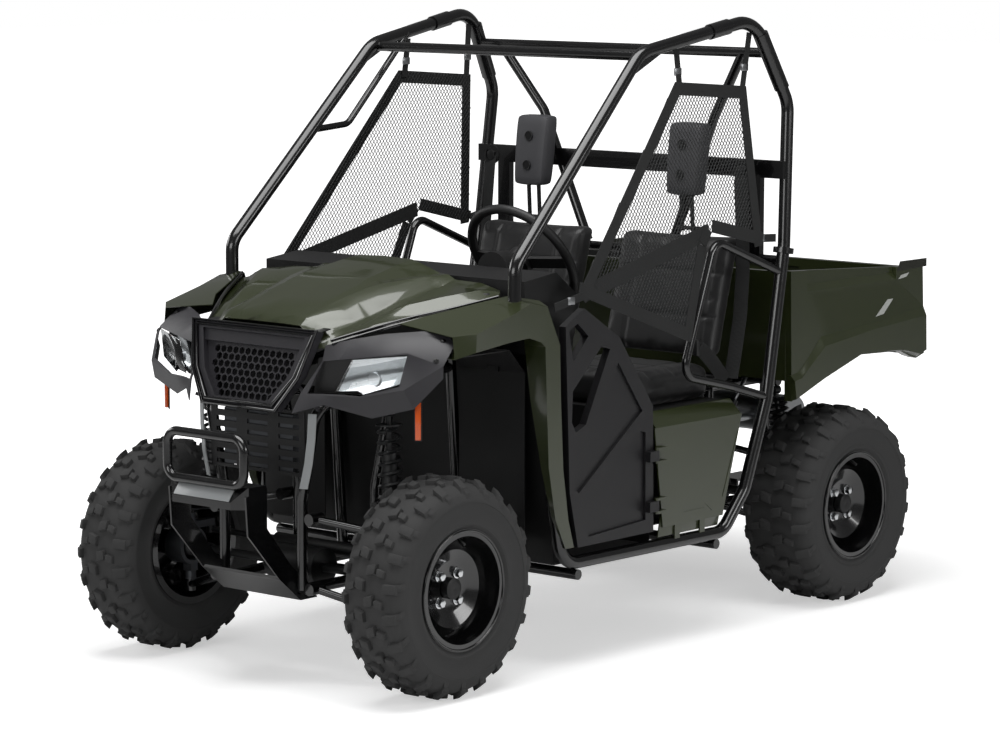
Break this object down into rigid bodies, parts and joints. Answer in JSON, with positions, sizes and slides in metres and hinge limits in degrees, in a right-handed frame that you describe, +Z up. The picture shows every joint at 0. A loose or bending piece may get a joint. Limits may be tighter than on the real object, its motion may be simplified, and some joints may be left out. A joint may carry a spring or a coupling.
{
  "type": "side by side utility vehicle",
  "caption": "Open side by side utility vehicle with roll cage, bench seats, half doors, side nets, front bumper and a tilting load bed.",
  "frame": {"origin": "on the floor, under the middle of the vehicle's overall length and width", "axes": "+Z up, -Y towards the front, +X towards the driver's side"},
  "size_m": [1.264, 2.67, 1.8258],
  "materials": {
    "frame_paint": "gloss black powder coat",
    "body_green": "olive green metallic gloss",
    "dark_plastic": "dark grey grained moulding",
    "black_plastic": "black grained moulding",
    "tyre_rubber": "dark grey",
    "rim_paint": "gloss black enamel",
    "seat_vinyl": "black vinyl",
    "net_fabric": "black woven mesh",
    "lamp_glass": "clear",
    "lamp_red": "red lens",
    "cast_metal": "as cast",
    "forged_steel": "black painted",
    "muffler_steel": "satin",
    "bed_liner": "black moulded"
  },
  "bodies": {
    "root": {"main_frame": "frame_paint", "front_frame": "frame_paint", "rear_frame": "frame_paint", "rops_left": "frame_paint", "rops_right": "frame_paint", "rops_cross": "frame_paint", "hip_bars": "frame_paint", "side_nets": "net_fabric", "rear_hub_carriers": "cast_metal", "front_arms": "frame_paint", "rear_arms": "frame_paint", "shocks": "forged_steel", "driveline": "forged_steel", "engine": "cast_metal", "muffler": "muffler_steel", "steering_gear": "forged_steel", "radiator": "cast_metal", "radiator_guard": "black_plastic", "front_bumper": "frame_paint", "bonnet": "body_green", "grille": "dark_plastic", "front_fascias": "dark_plastic", "headlamps": "lamp_glass", "front_wings": "body_green", "wheel_arch_liners": "black_plastic", "floor_tub": "black_plastic", "dashboard": "black_plastic", "side_panels": "body_green", "pedals": "muffler_steel", "seat_cushions": "seat_vinyl", "seat_backs": "seat_vinyl", "headrests": "black_plastic"},
    "wheel_front_left": {"front_tyre_left": "tyre_rubber", "front_rim_left": "rim_paint"},
    "wheel_front_right": {"front_tyre_right": "tyre_rubber", "front_rim_right": "rim_paint"},
    "wheel_rear_left": {"rear_tyre_left": "tyre_rubber", "rear_rim_left": "rim_paint"},
    "wheel_rear_right": {"rear_tyre_right": "tyre_rubber", "rear_rim_right": "rim_paint"},
    "knuckle_left": {"knuckle_left": "cast_metal"},
    "knuckle_right": {"knuckle_right": "cast_metal"},
    "rack": {"steering_rack": "forged_steel"},
    "steering_wheel": {"steering_wheel": "black_plastic"},
    "door_left": {"door_left": "dark_plastic"},
    "door_right": {"door_right": "dark_plastic"},
    "bed": {"load_bed": "body_green", "tail_lamps": "lamp_red"},
    "tailgate": {"tailgate": "body_green"},
    "strut_body": {"strut_body": "forged_steel"},
    "strut_rod": {"strut_rod": "muffler_steel"}
  },
  "joints": [
    {"name": "steer_left", "type": "hinge", "parent": "root", "child": "knuckle_left", "pos_m": [0.44, -0.944, 0.305], "axis": [0, 0, 1], "range_deg": [-30, 30]},
    {"name": "steer_right", "type": "hinge", "parent": "root", "child": "knuckle_right", "pos_m": [-0.44, -0.944, 0.305], "axis": [0, 0, 1], "range_deg": [-31, 31]},
    {"name": "rack_slide", "type": "slide", "parent": "root", "child": "rack", "axis": [1, 0, 0], "range_m": [-0.046, 0.046]},
    {"name": "steering_wheel_turn", "type": "hinge", "parent": "root", "child": "steering_wheel", "pos_m": [0.25, -0.27, 1.137], "axis": [0, 0.848, 0.5299], "range_deg": [-361, 361]},
    {"name": "front_left_spin", "type": "hinge", "parent": "knuckle_left", "child": "wheel_front_left", "pos_m": [0.517, -0.944, 0.305], "axis": [1, 0, 0], "continuous": true},
    {"name": "front_right_spin", "type": "hinge", "parent": "knuckle_right", "child": "wheel_front_right", "pos_m": [-0.517, -0.944, 0.305], "axis": [1, 0, 0], "continuous": true},
    {"name": "rear_left_spin", "type": "hinge", "parent": "root", "child": "wheel_rear_left", "pos_m": [0.505, 0.91, 0.305], "axis": [1, 0, 0], "continuous": true},
    {"name": "rear_right_spin", "type": "hinge", "parent": "root", "child": "wheel_rear_right", "pos_m": [-0.505, 0.91, 0.305], "axis": [1, 0, 0], "continuous": true},
    {"name": "door_left_swing", "type": "hinge", "parent": "root", "child": "door_left", "pos_m": [0.609, -0.091, 0.5], "axis": [0, 0, 1], "range_deg": [0, 70]},
    {"name": "door_right_swing", "type": "hinge", "parent": "root", "child": "door_right", "pos_m": [-0.609, -0.091, 0.5], "axis": [0, 0, -1], "range_deg": [0, 70]},
    {"name": "bed_tilt", "type": "hinge", "parent": "root", "child": "bed", "pos_m": [0, 1.165, 0.698], "axis": [-1, 0, 0], "range_deg": [0, 40]},
    {"name": "tailgate_drop", "type": "hinge", "parent": "bed", "child": "tailgate", "pos_m": [0, 1.306, 0.806], "axis": [-1, 0, 0], "range_deg": [0, 90]},
    {"name": "strut_swing", "type": "hinge", "parent": "root", "child": "strut_body", "pos_m": [0.214, 0.64, 0.43], "axis": [1, 0, 0], "range_deg": [-0.2, 4.3]},
    {"name": "strut_slide", "type": "slide", "parent": "strut_body", "child": "strut_rod", "axis": [0, 0.6891, 0.7247], "range_m": [-0.001, 0.1609]}
  ],
  "couplings": [
    {"joint": "steer_right", "follows": "steer_left", "ratio": 1},
    {"joint": "rack_slide", "follows": "steer_left", "m_per_rad": -0.085},
    {"joint": "steering_wheel_turn", "follows": "steer_left", "ratio": 12},
    {"joint": "strut_swing", "follows": "bed_tilt", "ratio": 0.1015},
    {"joint": "strut_slide", "follows": "bed_tilt", "m_per_rad": 0.22764}
  ]
}
